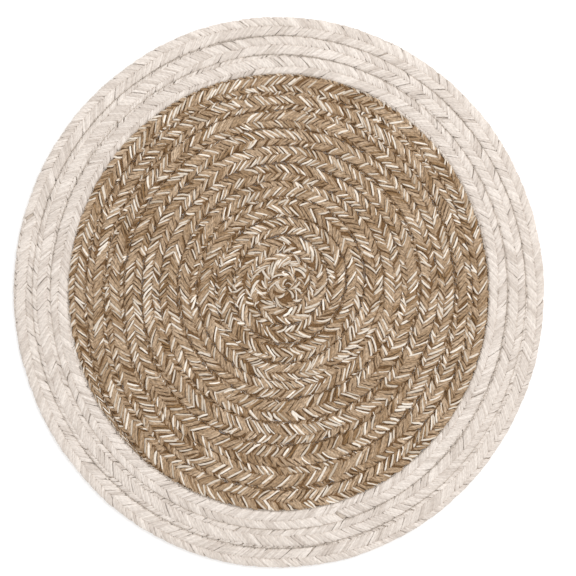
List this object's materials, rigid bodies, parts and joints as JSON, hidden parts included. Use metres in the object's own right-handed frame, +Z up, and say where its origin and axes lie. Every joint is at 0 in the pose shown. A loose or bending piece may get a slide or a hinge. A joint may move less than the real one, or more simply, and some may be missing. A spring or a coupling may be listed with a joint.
{
  "type": "braided area rug",
  "caption": "Round area rug of flat cotton braid: a flecked tan spiral ringed by plain cream braids, sewn edge to edge, reversible, lying flat on the floor.",
  "frame": {"origin": "middle of the underside, on the floor", "axes": "+Z up out of the rug's face; +Y towards the top of the picture, along the rug's slightly longer width; +X to the right"},
  "size_m": [0.8826, 0.9168, 0.012],
  "materials": {
    "tan_yarn": "matte",
    "cream_yarn": "matte",
    "filler_cord": "matte",
    "brown_thread": "matte",
    "cream_thread": "matte"
  },
  "bodies": {
    "root": {"tan_braid": "tan_yarn", "tan_filler_cord": "filler_cord", "tan_seam_needle_thread": "brown_thread", "tan_seam_bobbin_thread": "brown_thread", "centre_tack": "brown_thread", "tail_tack": "brown_thread", "cream_braid_inner": "cream_yarn", "cream_braid_middle": "cream_yarn", "cream_braid_outer": "cream_yarn", "cream_filler_cord_inner": "filler_cord", "cream_filler_cord_middle": "filler_cord", "cream_filler_cord_outer": "filler_cord", "border_seam_needle_thread_inner": "cream_thread", "border_seam_needle_thread_middle": "cream_thread", "border_seam_needle_thread_outer": "cream_thread", "border_seam_bobbin_thread_inner": "cream_thread", "border_seam_bobbin_thread_middle": "cream_thread", "border_seam_bobbin_thread_outer": "cream_thread", "butt_stitch_inner": "cream_thread", "butt_stitch_middle": "cream_thread", "butt_stitch_outer": "cream_thread"}
  },
  "joints": []
}
